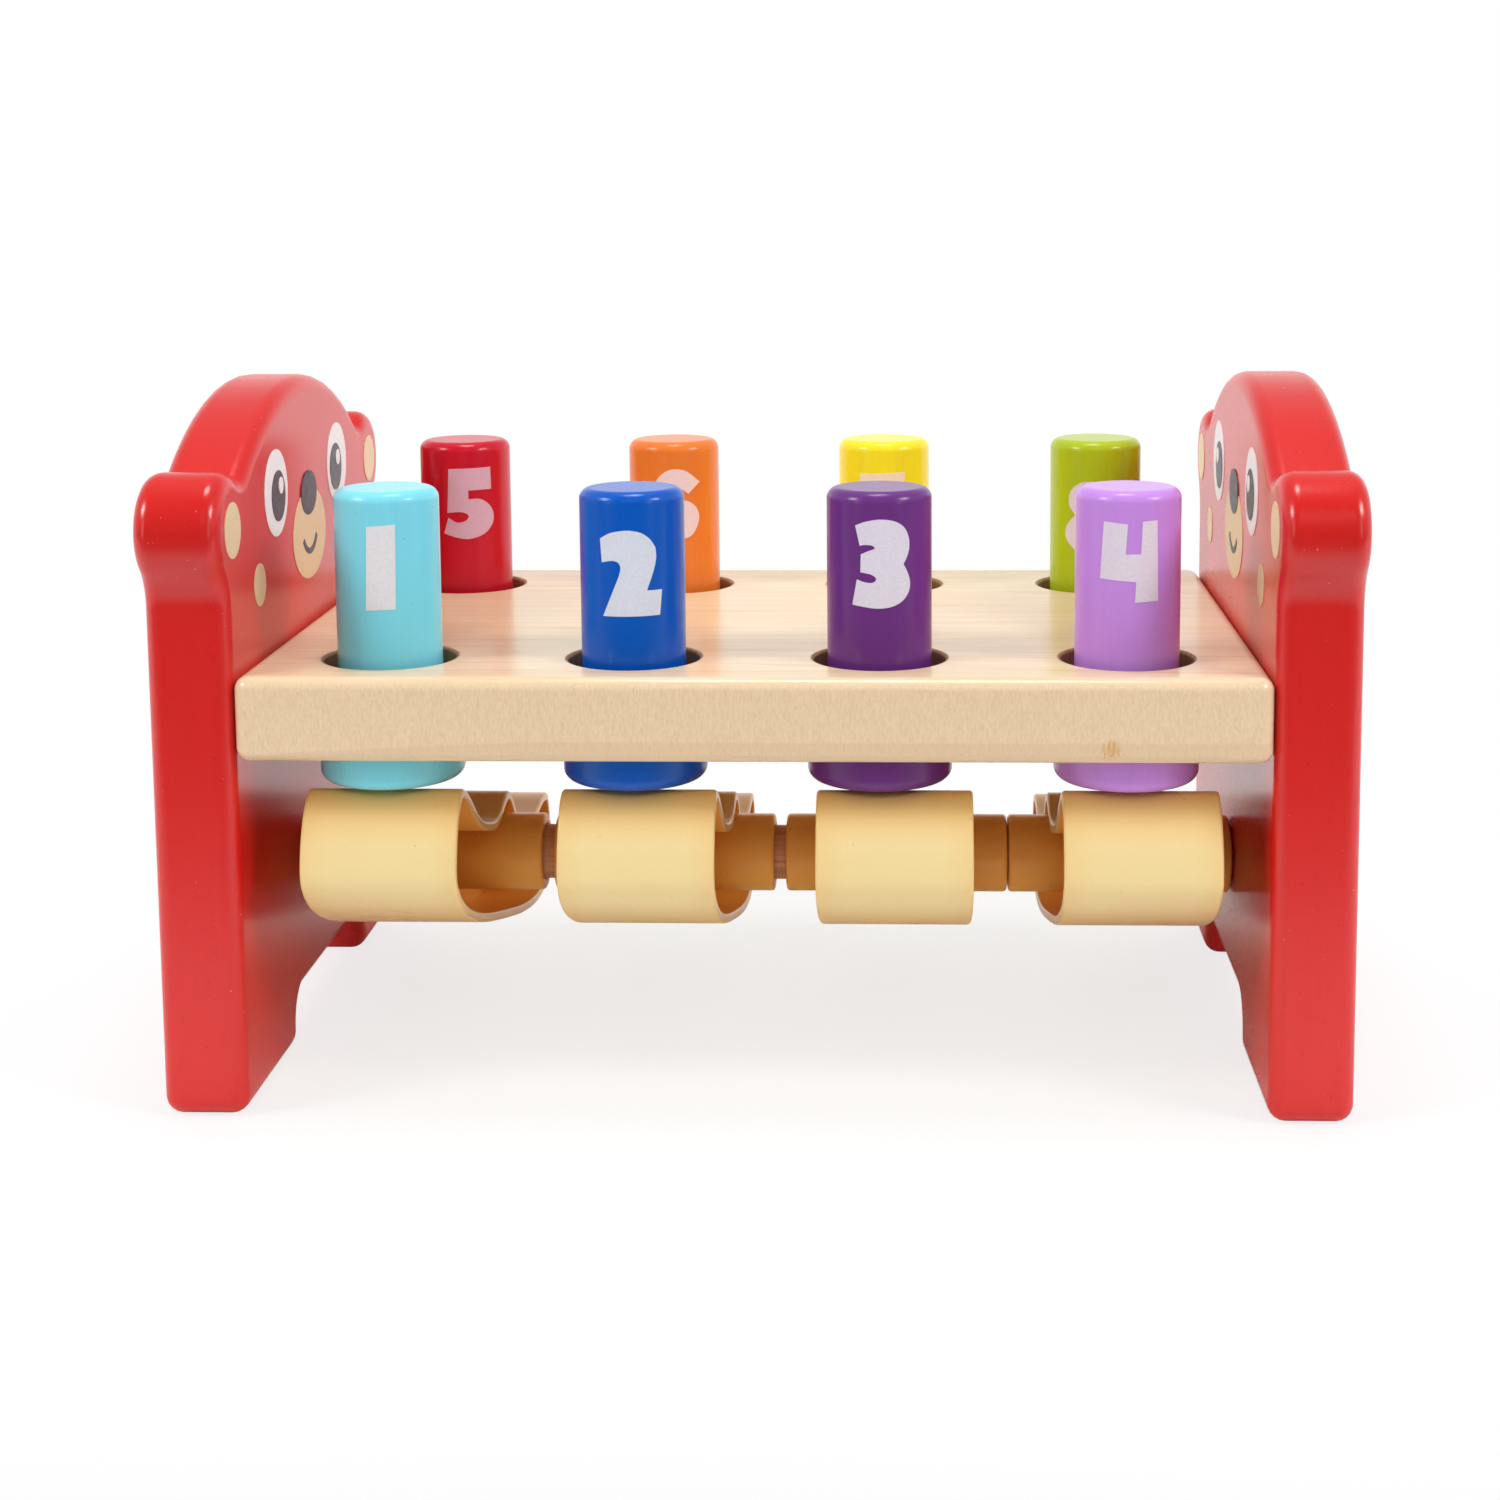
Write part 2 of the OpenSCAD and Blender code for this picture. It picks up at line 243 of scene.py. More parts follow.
class Shader:
    """A material and its nodes, with short calls that add a node and join it to others."""

    def __init__(self, name, roughness, gloss=0.5):
        self.material = bpy.data.materials.new(name)
        self.material.use_nodes = True
        self.tree = self.material.node_tree
        self.surface = self.tree.nodes["Principled BSDF"]
        self.surface.inputs["Roughness"].default_value = roughness
        self.surface.inputs["Specular IOR Level"].default_value = gloss

    def add(self, kind, sockets):
        """A node of one kind, with some of its sockets set or linked."""
        node = self.tree.nodes.new("ShaderNode" + kind)
        for key, value in sockets.items():
            self.put(node.inputs[key], value)
        return node

    def put(self, socket, value):
        """Sets a socket to a value, or links it to the socket that is given."""
        if isinstance(value, bpy.types.NodeSocket):
            self.tree.links.new(value, socket)
        else:
            socket.default_value = value

    def place(self, stretch=(1.0, 1.0, 1.0)):
        """Where a point lies on the piece, in metres, stretched along the axes."""
        coordinates = self.add("TexCoord", {}).outputs["Object"]
        return self.add("Mapping", {"Vector": coordinates, "Scale": stretch}).outputs["Vector"]

    def noise(self, per_metre, detail=3.0, roughness=0.5, distortion=0.0):
        """Cloudy noise with a number of clouds per metre along each axis."""
        vector = self.place(per_metre)
        sockets = {"Vector": vector, "Scale": 1.0, "Detail": detail}
        sockets["Roughness"] = roughness
        sockets["Distortion"] = distortion
        return self.add("TexNoise", sockets).outputs["Fac"]

    def ramp(self, value, stops):
        """Colours along a value from 0 to 1."""
        node = self.add("ValToRGB", {"Fac": value})
        elements = node.color_ramp.elements
        for element, (position, colour) in zip((elements[0], elements[-1]), (stops[0], stops[-1])):
            element.position = position
            element.color = colour
        for position, colour in stops[1:-1]:
            elements.new(position).color = colour
        return node.outputs["Color"]

    def span(self, value, low, high, to_low, to_high):
        """A value carried from one range to another and held inside it."""
        sockets = {"Value": value, "From Min": low, "From Max": high}
        sockets["To Min"] = to_low
        sockets["To Max"] = to_high
        return self.add("MapRange", sockets).outputs["Result"]

    def mix(self, share, first, second):
        """Two colours mixed: sockets 0, 6 and 7 of the node are the share and the two colours."""
        node = self.tree.nodes.new("ShaderNodeMix")
        node.data_type = "RGBA"
        for index, value in ((0, share), (6, first), (7, second)):
            self.put(node.inputs[index], value)
        return node.outputs[2]

    def math(self, operation, first, second):
        node = self.tree.nodes.new("ShaderNodeMath")
        node.operation = operation
        self.put(node.inputs[0], first)
        self.put(node.inputs[1], second)
        return node.outputs["Value"]

    def bump(self, heights):
        """Bumps laid over each other, each a height from 0 to 1 and its depth in millimetres."""
        normal = None
        for height, depth in heights:
            sockets = {"Height": height, "Distance": depth * MM}
            if normal:
                sockets["Normal"] = normal
            normal = self.add("Bump", sockets).outputs["Normal"]
        self.put(self.surface.inputs["Normal"], normal)

    def finish(self, colour, roughness):
        """Gives the surface its colour and roughness, and returns the material."""
        self.put(self.surface.inputs["Base Color"], colour)
        self.put(self.surface.inputs["Roughness"], roughness)
        return self.material


def along(axis, length, width):
    """How many times per metre a pattern repeats, when it is drawn out along one axis."""
    return [1 / MM / (length if index == axis else width) for index in range(3)]


def painted_wood(name, colour, texture, gloss, dust=0.0):
    """Glossy paint on upright wood: faint grain, an uneven skin, a little grit and a few tiny specks."""
    shader = Shader(name, 0.24, gloss)
    grain = shader.noise(along(Z_AXIS, 16.0, 0.8), detail=3.0)
    cloud = shader.noise(along(Z_AXIS, 60.0, 22.0), detail=2.0)
    peel = shader.noise(along(Z_AXIS, 1.3, 1.0), detail=2.0)
    grit = shader.span(shader.noise(along(Z_AXIS, 0.6, 0.6), detail=1.0), 0.6, 0.75, 0.0, 1.0)
    specks = shader.noise(along(Z_AXIS, 0.8, 0.8), detail=0.0)
    tone = shader.ramp(grain, [(0.2, shade(colour, 0.96)), (0.5, colour), (0.8, shade(colour, 1.03))])
    tone = shader.mix(shader.span(cloud, 0.35, 0.75, 0.0, 0.6), tone, shade(colour, 1.06))
    tone = shader.mix(shader.span(specks, 0.84, 0.87, 0.0, 0.4), tone, shade(colour, 0.5))
    motes = shader.noise(along(Z_AXIS, 0.5, 0.5), detail=0.0)
    tone = shader.mix(shader.span(motes, 0.85, 0.88, 0.0, dust), tone, DUST_PALE)
    shader.bump([(grain, 0.012 * texture), (peel, 0.008 * texture), (grit, 0.004 * texture)])
    return shader.finish(tone, shader.span(peel, 0.2, 0.8, 0.21, 0.27))


def board_wood():
    """Pale wood with its grain along X; the long edges have flecks, a growth line and one amber stain."""
    shader = Shader("board_wood", 0.22)
    streaks = shader.noise(along(X_AXIS, 70.0, 3.2), detail=6.0, roughness=0.62, distortion=0.4)
    bands = shader.noise(along(X_AXIS, 420.0, 16.0), detail=2.0, distortion=0.6)
    pores = shader.noise(along(X_AXIS, 9.0, 0.45), detail=2.0)
    tone = shader.ramp(streaks, [(0.3, BOARD_DARK), (0.5, BOARD_PALE), (0.72, BOARD_LIGHT)])
    tone = shader.mix(shader.span(bands, 0.45, 0.7, 0.0, 0.25), tone, BAND_TAN)
    lines = shader.math("ABSOLUTE", shader.math("SUBTRACT", bands, 0.47), 0.0)
    tone = shader.mix(shader.span(lines, 0.0, 0.012, 0.3, 0.0), tone, LINE_BROWN)
    tone = shader.mix(shader.span(pores, 0.62, 0.74, 0.0, 0.3), tone, PORE_BROWN)

    geometry = shader.add("NewGeometry", {})
    facing = shader.add("SeparateXYZ", {"Vector": geometry.outputs["Normal"]}).outputs["Y"]
    edge = shader.span(shader.math("ABSOLUTE", facing, 0.0), 0.55, 0.9, 0.0, 1.0)
    tone = shader.mix(edge, tone, long_edge_tone(shader))
    shader.bump([(streaks, 0.03), (pores, 0.025)])
    return shader.finish(tone, shader.span(streaks, 0.2, 0.8, 0.26, 0.18))


def long_edge_tone(shader):
    """Colour of the board's long edges: fine ticks, a darker part below a growth line, flecks and a stain."""
    place = shader.place()
    split = shader.add("SeparateXYZ", {"Vector": place})
    ticks = shader.noise(along(Z_AXIS, 1.1, 0.35), detail=3.0)
    flecks = shader.noise(along(Z_AXIS, 2.4, 0.5), detail=2.0)
    tone = shader.ramp(ticks, [(0.3, EDGE_DARK), (0.5, EDGE_PALE), (0.72, EDGE_LIGHT)])
    run = (GROWTH_LINE_START * MM, GROWTH_LINE_END * MM)
    line = shader.span(split.outputs["X"], *run, GROWTH_LINE_LOW * MM, GROWTH_LINE_HIGH * MM)
    above = shader.math("SUBTRACT", split.outputs["Z"], line)
    below_blur, above_blur = GROWTH_LINE_BLUR
    darker = shader.span(above, -below_blur * MM, above_blur * MM, 0.4, 0.0)
    tone = shader.mix(darker, tone, GROWTH_TAN)
    tone = shader.mix(shader.span(flecks, 0.6, 0.72, 0.0, 0.22), tone, FLECK_BROWN)
    away = shader.tree.nodes.new("ShaderNodeVectorMath")
    away.operation = "DISTANCE"
    shader.put(away.inputs[0], place)
    away.inputs[1].default_value = Vector(STAIN_PLACE) * MM
    rough = shader.span(flecks, 0.3, 0.7, -STAIN_RAGGEDNESS * MM, STAIN_RAGGEDNESS * MM)
    ragged = shader.math("ADD", away.outputs["Value"], rough)
    stain = shader.span(ragged, STAIN_CORE * MM, STAIN_RADIUS * MM, 0.75, 0.0)
    return shader.mix(stain, tone, STAIN_AMBER)


def moulded_plastic(name, colour, mottle_and_shade, hub_x):
    """Glossy moulded plastic with tiny dark specks and a random warm mottle, and painted shade: warmer
    towards a rocker's back, belly and rims.
    """
    shader = Shader(name, 0.26, 0.25)
    turn = math.radians(ROCKER_TILT)
    hub = Vector((hub_x, 0.0, middle("axle").z)) * MM
    level = shader.add("Mapping", {"Vector": shader.place()})
    level.inputs["Rotation"].default_value = (turn, 0.0, 0.0)
    level.inputs["Location"].default_value = Matrix.Rotation(turn, 3, "X") @ -hub
    split = shader.add("SeparateXYZ", {"Vector": level.outputs["Vector"]})
    aside = shader.math("ABSOLUTE", split.outputs["X"], 0.0)
    flow = shader.noise(along(X_AXIS, 60.0, 30.0), detail=1.0)
    grain = shader.noise(along(X_AXIS, 0.6, 0.6), detail=1.0)
    specks = shader.noise(along(X_AXIS, 0.7, 0.7), detail=0.0)
    # Painted shade: warmer over the back, towards the bottom of the belly and at the rims
    back = shader.span(split.outputs["Z"], SHADE_BACK_FROM * MM, CREST_HEIGHT * MM, 0.0, 1.0)
    tone = shader.mix(back, colour, mottle_and_shade)
    belly_shade = shader.span(split.outputs["Z"], -BELLY_DEPTH * MM, SHADE_BELLY_FROM * MM, 0.7, 0.0)
    tone = shader.mix(belly_shade, tone, mottle_and_shade)
    rim = shader.span(aside, SHADE_RIM_FROM * MM, ROCKER_WIDTH / 2 * MM, 0.0, 0.3)
    tone = shader.mix(rim, tone, mottle_and_shade)
    tone = shader.mix(shader.span(flow, 0.2, 0.8, 0.0, 0.14), tone, mottle_and_shade)
    tone = shader.mix(shader.span(grain, 0.2, 0.8, 0.0, 0.05), tone, shade(mottle_and_shade, 0.8))
    tone = shader.mix(shader.span(specks, 0.86, 0.89, 0.0, 0.6), tone, shade(colour, 0.4))
    shader.bump([(flow, 0.01)])
    return shader.finish(tone, shader.span(flow, 0.2, 0.8, 0.24, 0.28))


def bare_wood(name, colour, grain_axis):
    """Unpainted wood with open grain along one axis."""
    shader = Shader(name, 0.55)
    streaks = shader.noise(along(grain_axis, 22.0, 0.9), detail=5.0, roughness=0.6)
    rings = shader.noise(along(grain_axis, 90.0, 3.5), detail=2.0)
    tone = shader.ramp(streaks, [(0.3, shade(colour, 0.62)), (0.55, colour), (0.75, shade(colour, 1.3))])
    tone = shader.mix(shader.span(rings, 0.4, 0.7, 0.0, 0.4), tone, shade(colour, 0.75))
    shader.bump([(streaks, 0.08)])
    return shader.finish(tone, shader.span(streaks, 0.3, 0.7, 0.62, 0.48))


def brushed_steel():
    shader = Shader("screw_steel", 0.35)
    lines = shader.noise(along(X_AXIS, 0.3, 6.0), detail=3.0)
    shader.surface.inputs["Metallic"].default_value = 1.0
    tone = shader.ramp(lines, [(0.3, shade(SCREW_GREY, 0.8)), (0.7, shade(SCREW_GREY, 1.1))])
    shader.bump([(lines, 0.02)])
    return shader.finish(tone, shader.span(lines, 0.3, 0.7, 0.28, 0.42))


def printed_film(name, colour):
    """A thin coat of printing ink that lets the skin of the paint show."""
    shader = Shader(name, 0.42)
    skin = shader.noise(along(Z_AXIS, 1.6, 1.4), detail=2.0)
    dots = shader.noise(along(Z_AXIS, 0.5, 0.5), detail=2.0)
    tone = shader.ramp(dots, [(0.3, shade(colour, 0.93)), (0.6, colour)])
    shader.bump([(skin, 0.02), (dots, 0.008)])
    return shader.finish(tone, shader.span(skin, 0.3, 0.7, 0.32, 0.44))


def box_mm(node):
    """A node's lowest and highest corner, in millimetres."""
    low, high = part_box(node)
    return Vector(low) / MM, Vector(high) / MM


def middle(node):
    low, high = box_mm(node)
    return (low + high) / 2


def polar(centre, radius, degrees):
    angle = math.radians(degrees)
    return (centre[0] + radius * math.cos(angle), centre[1] + radius * math.sin(angle))


def heading(start, end):
    """Angle of the direction from one point to another, in degrees."""
    return math.degrees(math.atan2(end[1] - start[1], end[0] - start[0]))


def arc_points(centre, radius, start, end):
    steps = max(2, math.ceil(abs(end - start) / CURVE_STEP))
    return [polar(centre, radius, start + (end - start) * i / steps) for i in range(steps + 1)]


def circle(centre, radius, steps=LARGE_ROUND):
    return [polar(centre, radius, 360 * i / steps) for i in range(steps)]


def ellipse(centre, across, up, steps=MEDIUM_ROUND):
    turns = [math.tau * i / steps for i in range(steps)]
    return [(centre[0] + across * math.cos(t), centre[1] + up * math.sin(t)) for t in turns]


def quarter(radius, steps=BROAD_EDGE):
    """A rounded edge, as pairs of depth from the face and inset from the side, from the face outwards."""
    turns = [math.pi / 2 * i / steps for i in range(steps + 1)]
    return [(radius * (1 - math.cos(t)), radius * (1 - math.sin(t))) for t in turns]


def smooth_run(points, steps=RUN_STEPS):
    """A soft curve through points, from the first to the last."""
    padded = [points[0], *points, points[-1]]
    curve = []
    for before, start, end, after in zip(padded, padded[1:], padded[2:], padded[3:]):
        for i in range(steps):
            t = i / steps
            curve.append(tuple(catmull(before[k], start[k], end[k], after[k], t) for k in (0, 1)))
    curve.append(tuple(points[-1]))
    return curve


def catmull(before, start, end, after, t):
    """Catmull-Rom interpolation between start and end."""
    pull = (end - before) / 2
    push = (after - start) / 2
    rise = end - start
    return start + t * (pull + t * ((3 * rise - 2 * pull - push) + t * (pull + push - 2 * rise)))


def outline_of(runs):
    """An outline made of runs: a run of two points or fewer is straight, a longer one is a soft curve."""
    points = []
    for run in runs:
        points += smooth_run(run) if len(run) > 2 else [tuple(p) for p in run]
    return points


def ring(mesh, points):
    """A closed loop of vertices, given in millimetres."""
    return [mesh.verts.new(Vector(p) * MM) for p in points]


def skin(mesh, loops, paint=0):
    """Quads between loops that follow each other, and the rings of vertices that they join."""
    rings = [ring(mesh, loop) for loop in loops]
    for first, second in zip(rings, rings[1:]):
        bridge(mesh, first, second, paint)
    return rings


def bridge(mesh, first, second, paint=0):
    for i in range(len(first)):
        j = (i + 1) % len(first)
        mesh.faces.new((first[i], first[j], second[j], second[i])).material_index = paint


def fill(mesh, rings, paint=0):
    """A flat face inside the first ring, with the other rings as holes in it."""
    edges = [mesh.edges.get((a, b)) for loop in rings for a, b in zip(loop, loop[1:] + loop[:1])]
    made = bmesh.ops.triangle_fill(mesh, edges=edges, use_beauty=True)
    for item in made["geom"]:
        if isinstance(item, bmesh.types.BMFace):
            item.material_index = paint


def add_piece(name, mesh, materials, body, nodes=()):
    """Turns a mesh into a piece that rides on a body, with even normals on its flats."""
    bmesh.ops.recalc_face_normals(mesh, faces=mesh.faces)
    for face in mesh.faces:
        face.smooth = True
    data = bpy.data.meshes.new(name)
    mesh.to_mesh(data)
    mesh.free()
    for material in materials:
        data.materials.append(material)
    data.set_sharp_from_angle(angle=math.radians(SHARP_ANGLE))
    piece = bpy.data.objects.new(name, data)
    bpy.context.scene.collection.objects.link(piece)
    even = piece.modifiers.new("even_normals", "WEIGHTED_NORMAL")
    even.keep_sharp = True
    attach(piece, body)
    if nodes:
        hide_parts(*nodes)
    return piece


def panel_arcs():
    """Arcs of a panel's edge in the YZ plane, each with 1 where it bulges out and -1 where it is hollow."""
    high = box_mm("right_panel")[1]
    leg = box_mm("board")[1].y
    top = high.z
    ear = (high.y - EAR_RADIUS, top - EAR_DROP)
    head = (0.0, top - HEAD_RADIUS)
    neck_y = leg + NECK_RADIUS
    neck_drop = math.sqrt((EAR_RADIUS + NECK_RADIUS) ** 2 - (neck_y - ear[0]) ** 2)
    neck = (neck_y, ear[1] - neck_drop)
    span = math.dist(head, ear)
    to_head = HEAD_RADIUS + NAPE_RADIUS
    to_ear = EAR_RADIUS + NAPE_RADIUS
    turn = math.degrees(math.acos((span**2 + to_head**2 - to_ear**2) / (2 * span * to_head)))
    nape = polar(head, to_head, heading(head, ear) + turn)
    side = [
        (neck, NECK_RADIUS, 180, heading(neck, ear), -1),
        (ear, EAR_RADIUS, heading(ear, neck), heading(ear, nape), 1),
        (nape, NAPE_RADIUS, heading(nape, ear) + 360, heading(nape, head) + 360, -1),
        (head, HEAD_RADIUS, heading(head, nape), 90, 1),
    ]
    mirrored = []
    for (y, z), radius, start, end, bulge in reversed(side):
        mirrored.append(((-y, z), radius, 180 - end, 180 - start, bulge))
    front = FRONT_FOOT - leg
    back = leg - BACK_FOOT
    corner = FOOT_CORNER_RADIUS
    spring = ARCH_HEIGHT - ARCH_RADIUS
    feet = [
        ((corner - leg, corner), corner, 180, 270, 1),
        ((front - corner, corner), corner, 270, 360, 1),
        ((front + ARCH_RADIUS, spring), ARCH_RADIUS, 180, 90, -1),
        ((back - ARCH_RADIUS, spring), ARCH_RADIUS, 90, 0, -1),
        ((back + corner, corner), corner, 180, 270, 1),
        ((leg - corner, corner), corner, 270, 360, 1),
    ]
    return feet + side + mirrored


def panel_outline(inset):
    points = []
    for centre, radius, start, end, bulge in panel_arcs():
        stretch = arc_points(centre, radius - bulge * inset, start, end)
        meets = points and math.dist(points[-1], stretch[0]) < SAME_POINT
        points += stretch[1:] if meets else stretch
    return points


def add_panel(side, name, material):
    """An end panel with rounded edges and two sockets for the plugs in its outer face."""
    low, high = box_mm(f"{name}_panel")
    inner, outer = (high.x, low.x) if side < 0 else (low.x, high.x)
    rounded = quarter(PANEL_EDGE_RADIUS)
    loops = [[(inner + side * d, y, z) for y, z in panel_outline(i)] for d, i in rounded]
    loops += [[(outer - side * d, y, z) for y, z in panel_outline(i)] for d, i in reversed(rounded)]
    mesh = bmesh.new()
    rings = skin(mesh, loops)
    plug_low, plug_high = box_mm(f"{name}_screw_caps")
    plug_radius = (plug_high.z - plug_low.z) / 2
    depth = plug_high.x - plug_low.x
    holes = []
    for y in (plug_low.y + plug_radius, plug_high.y - plug_radius):
        centre = (y, (plug_low.z + plug_high.z) / 2)
        socket = plug_radius + PLUG_CLEARANCE
        steps = ((0.0, socket + PLUG_RIM_EASE), (PLUG_RIM_EASE, socket), (depth, socket))
        sunk = skin(mesh, [[(outer - side * d, *p) for p in circle(centre, r)] for d, r in steps])
        fill(mesh, [sunk[-1]])
        holes.append(sunk[0])
    fill(mesh, [rings[0]])
    fill(mesh, [rings[-1], *holes])
    return add_piece(f"{name}_panel_painted", mesh, [material], "bench", [f"{name}_panel"])


def board_outline(half_length, half_depth, inset):
    corner = BOARD_CORNER_RADIUS
    points = []
    for turn, along_x, along_y in ((0, 1, 1), (90, -1, 1), (180, -1, -1), (270, 1, -1)):
        centre = (along_x * (half_length - corner), along_y * (half_depth - corner))
        points += arc_points(centre, corner - inset, turn, turn + 90)
    return points


def add_board():
    """The board with all its edges rounded and eight holes with eased rims."""
    low, high = box_mm("board")
    rounded = quarter(BOARD_EDGE_RADIUS)
    half_length = high.x - BOARD_END_GAP
    levels = [(low.z + d, i) for d, i in rounded] + [(high.z - d, i) for d, i in reversed(rounded)]
    mesh = bmesh.new()
    rings = skin(mesh, [[(*p, z) for p in board_outline(half_length, high.y, i)] for z, i in levels])
    ease = quarter(HOLE_RIM_EASE, TINY_EDGE)
    steps = [(low.z + d, i) for d, i in ease] + [(high.z - d, i) for d, i in reversed(ease)]
    holes = []
    for number in PEG_NUMBERS:
        centre = middle(f"peg_{number}")
        loops = [[(*p, z) for p in circle(centre, HOLE_RADIUS + i)] for z, i in steps]
        holes.append(skin(mesh, loops, 1))
    fill(mesh, [rings[0], *[hole[0] for hole in holes]])
    fill(mesh, [rings[-1], *[hole[-1] for hole in holes]])
    # The hole walls are bare wood darkened with painted shade
    woods = [board_wood(), bare_wood("hole_wall_shaded", HOLE_SHADE_BROWN, Z_AXIS)]
    return add_piece("board_planed", mesh, woods, "bench", ["board"])


def wave(y):
    """Height of a rocker's wavy back above the axle."""
    reach = abs(y)
    if reach < VALLEY_REACH:
        share = reach / VALLEY_REACH
    else:
        share = (CREST_REACH - reach) / (CREST_REACH - VALLEY_REACH)
    rise = ((1 + math.cos(math.pi * share)) / 2) ** CREST_SHARPNESS
    return VALLEY_HEIGHT + (CREST_HEIGHT - VALLEY_HEIGHT) * rise


def rocker_profile():
    """Outline of a level rocker about its axle, clockwise from the front crest."""
    back = [CREST_REACH * (2 * i / WAVE_STEPS - 1) for i in range(WAVE_STEPS + 1)]
    turns = [math.pi / 2 * i / END_STEPS for i in range(1, END_STEPS + 1)]
    tip = TIP_REACH - CREST_REACH
    end = [(CREST_REACH + tip * math.sin(t), CREST_HEIGHT * math.cos(t)) for t in turns]
    power = 2 / BELLY_SQUARENESS
    for i in range(1, BELLY_STEPS):
        t = math.pi / 2 * i / BELLY_STEPS
        end.append((TIP_REACH * math.cos(t) ** power, -BELLY_DEPTH * math.sin(t) ** power))
    middle_point = (0.0, -BELLY_DEPTH)
    return [(y, wave(y)) for y in back] + end + [middle_point] + [(-y, z) for y, z in reversed(end)]


def inset_profile(points, wall):
    """A clockwise outline moved inwards."""
    moved = []
    for i, (y, z) in enumerate(points):
        before = points[i - 1]
        after = points[(i + 1) % len(points)]
        run = (after[0] - before[0], after[1] - before[1])
        length = math.hypot(*run)
        moved.append((y + wall * run[1] / length, z - wall * run[0] / length))
    return moved


def add_rocker(number):
    """A moulded rocker: a wavy wall with rounded rims, a web in its middle and a hub through it."""
    hub = middle("axle")
    low, high = box_mm(f"rocker_{number}")
    hub_x = (low.x + high.x) / 2
    hub_half = (high.x - low.x) / 2
    half = ROCKER_WIDTH / 2
    web = WEB_THICKNESS / 2
    profile = rocker_profile()
    turn = Matrix.Rotation(math.radians(-ROCKER_TILT), 3, "X")
    base = Vector((hub_x, 0.0, hub.z))

    def placed(x, outline):
        return [base + turn @ Vector((x, y, z)) for y, z in outline]

    rim = [(half - d, i) for d, i in reversed(quarter(RIM_EASE, NARROW_EDGE))]
    inside = quarter(INNER_RIM_EASE, TINY_EDGE)
    rim += [(half - d, ROCKER_WALL - i) for d, i in inside]
    pocket = [(web + d, ROCKER_WALL + i) for d, i in reversed(quarter(WEB_FILLET, NARROW_EDGE))]
    boss = [(web + d, HUB_RADIUS + i) for d, i in quarter(WEB_FILLET, NARROW_EDGE)]
    boss += [(hub_half - d, HUB_RADIUS - i) for d, i in reversed(quarter(HUB_END_EASE, NARROW_EDGE))]
    boss += [(hub_half - d, BORE_RADIUS + i) for d, i in quarter(BORE_EASE, TINY_EDGE)]

    mesh = bmesh.new()
    outer_rings = []
    bore_rings = []
    for side in (-1, 1):
        wall = skin(mesh, [placed(side * x, inset_profile(profile, i)) for x, i in rim])
        hollow_loops = [placed(side * x, inset_profile(profile, i)) for x, i in pocket]
        hollow = skin(mesh, hollow_loops, 1)
        bridge(mesh, wall[-1], hollow[0], 1)
        stem = skin(mesh, [placed(side * x, circle((0, 0), r, HUB_ROUND)) for x, r in boss], 1)
        fill(mesh, [hollow[-1], stem[0]], 1)
        outer_rings.append(wall[0])
        bore_rings.append(stem[-1])
    bridge(mesh, *outer_rings)
    bridge(mesh, *bore_rings, 1)
    body = f"rocker_{number}"
    # The pockets, web, hub and bore take a shaded copy of the cream plastic: painted shade
    shell = moulded_plastic(f"{body}_cream", ROCKER_CREAM, ROCKER_MOTTLE_AND_SHADE, hub_x)
    shaded_core = moulded_plastic(f"{body}_core", ROCKER_SHADED, ROCKER_DEEP_MOTTLE_AND_SHADE, hub_x)
    return add_piece(f"{body}_moulding", mesh, [shell, shaded_core], body, [body])


def flat_shape(outlines, slices=()):
    """A flat mesh in the XZ plane from one outline and its holes, cut into upright slices."""
    mesh = bmesh.new()
    for outline in outlines:
        corners = [mesh.verts.new((u, 0.0, v)) for u, v in outline]
        for first, second in zip(corners, corners[1:] + corners[:1]):
            mesh.edges.new((first, second))
    bmesh.ops.triangle_fill(mesh, edges=mesh.edges[:], use_beauty=True, normal=(0, -1, 0))
    for u in slices:
        parts = mesh.verts[:] + mesh.edges[:] + mesh.faces[:]
        bmesh.ops.bisect_plane(mesh, geom=parts, plane_co=(u, 0, 0), plane_no=(1, 0, 0))
    bmesh.ops.remove_doubles(mesh, verts=mesh.verts, dist=SMALLEST_EDGE)
    return mesh


def thicken(mesh, place):
    """Makes a flat mesh a thin closed plate: place gives a point from its two coordinates and its layer."""
    made = bmesh.ops.extrude_face_region(mesh, geom=mesh.faces[:], use_keep_orig=True)
    tops = {item for item in made["geom"] if isinstance(item, bmesh.types.BMVert)}
    for vertex in mesh.verts:
        vertex.co = Vector(place(vertex.co.x, vertex.co.z, vertex in tops)) * MM
    return mesh


def join(meshes):
    whole = bmesh.new()
    for mesh in meshes:
        data = bpy.data.meshes.new("scratch")
        mesh.to_mesh(data)
        mesh.free()
        whole.from_mesh(data)
        bpy.data.meshes.remove(data)
    return whole


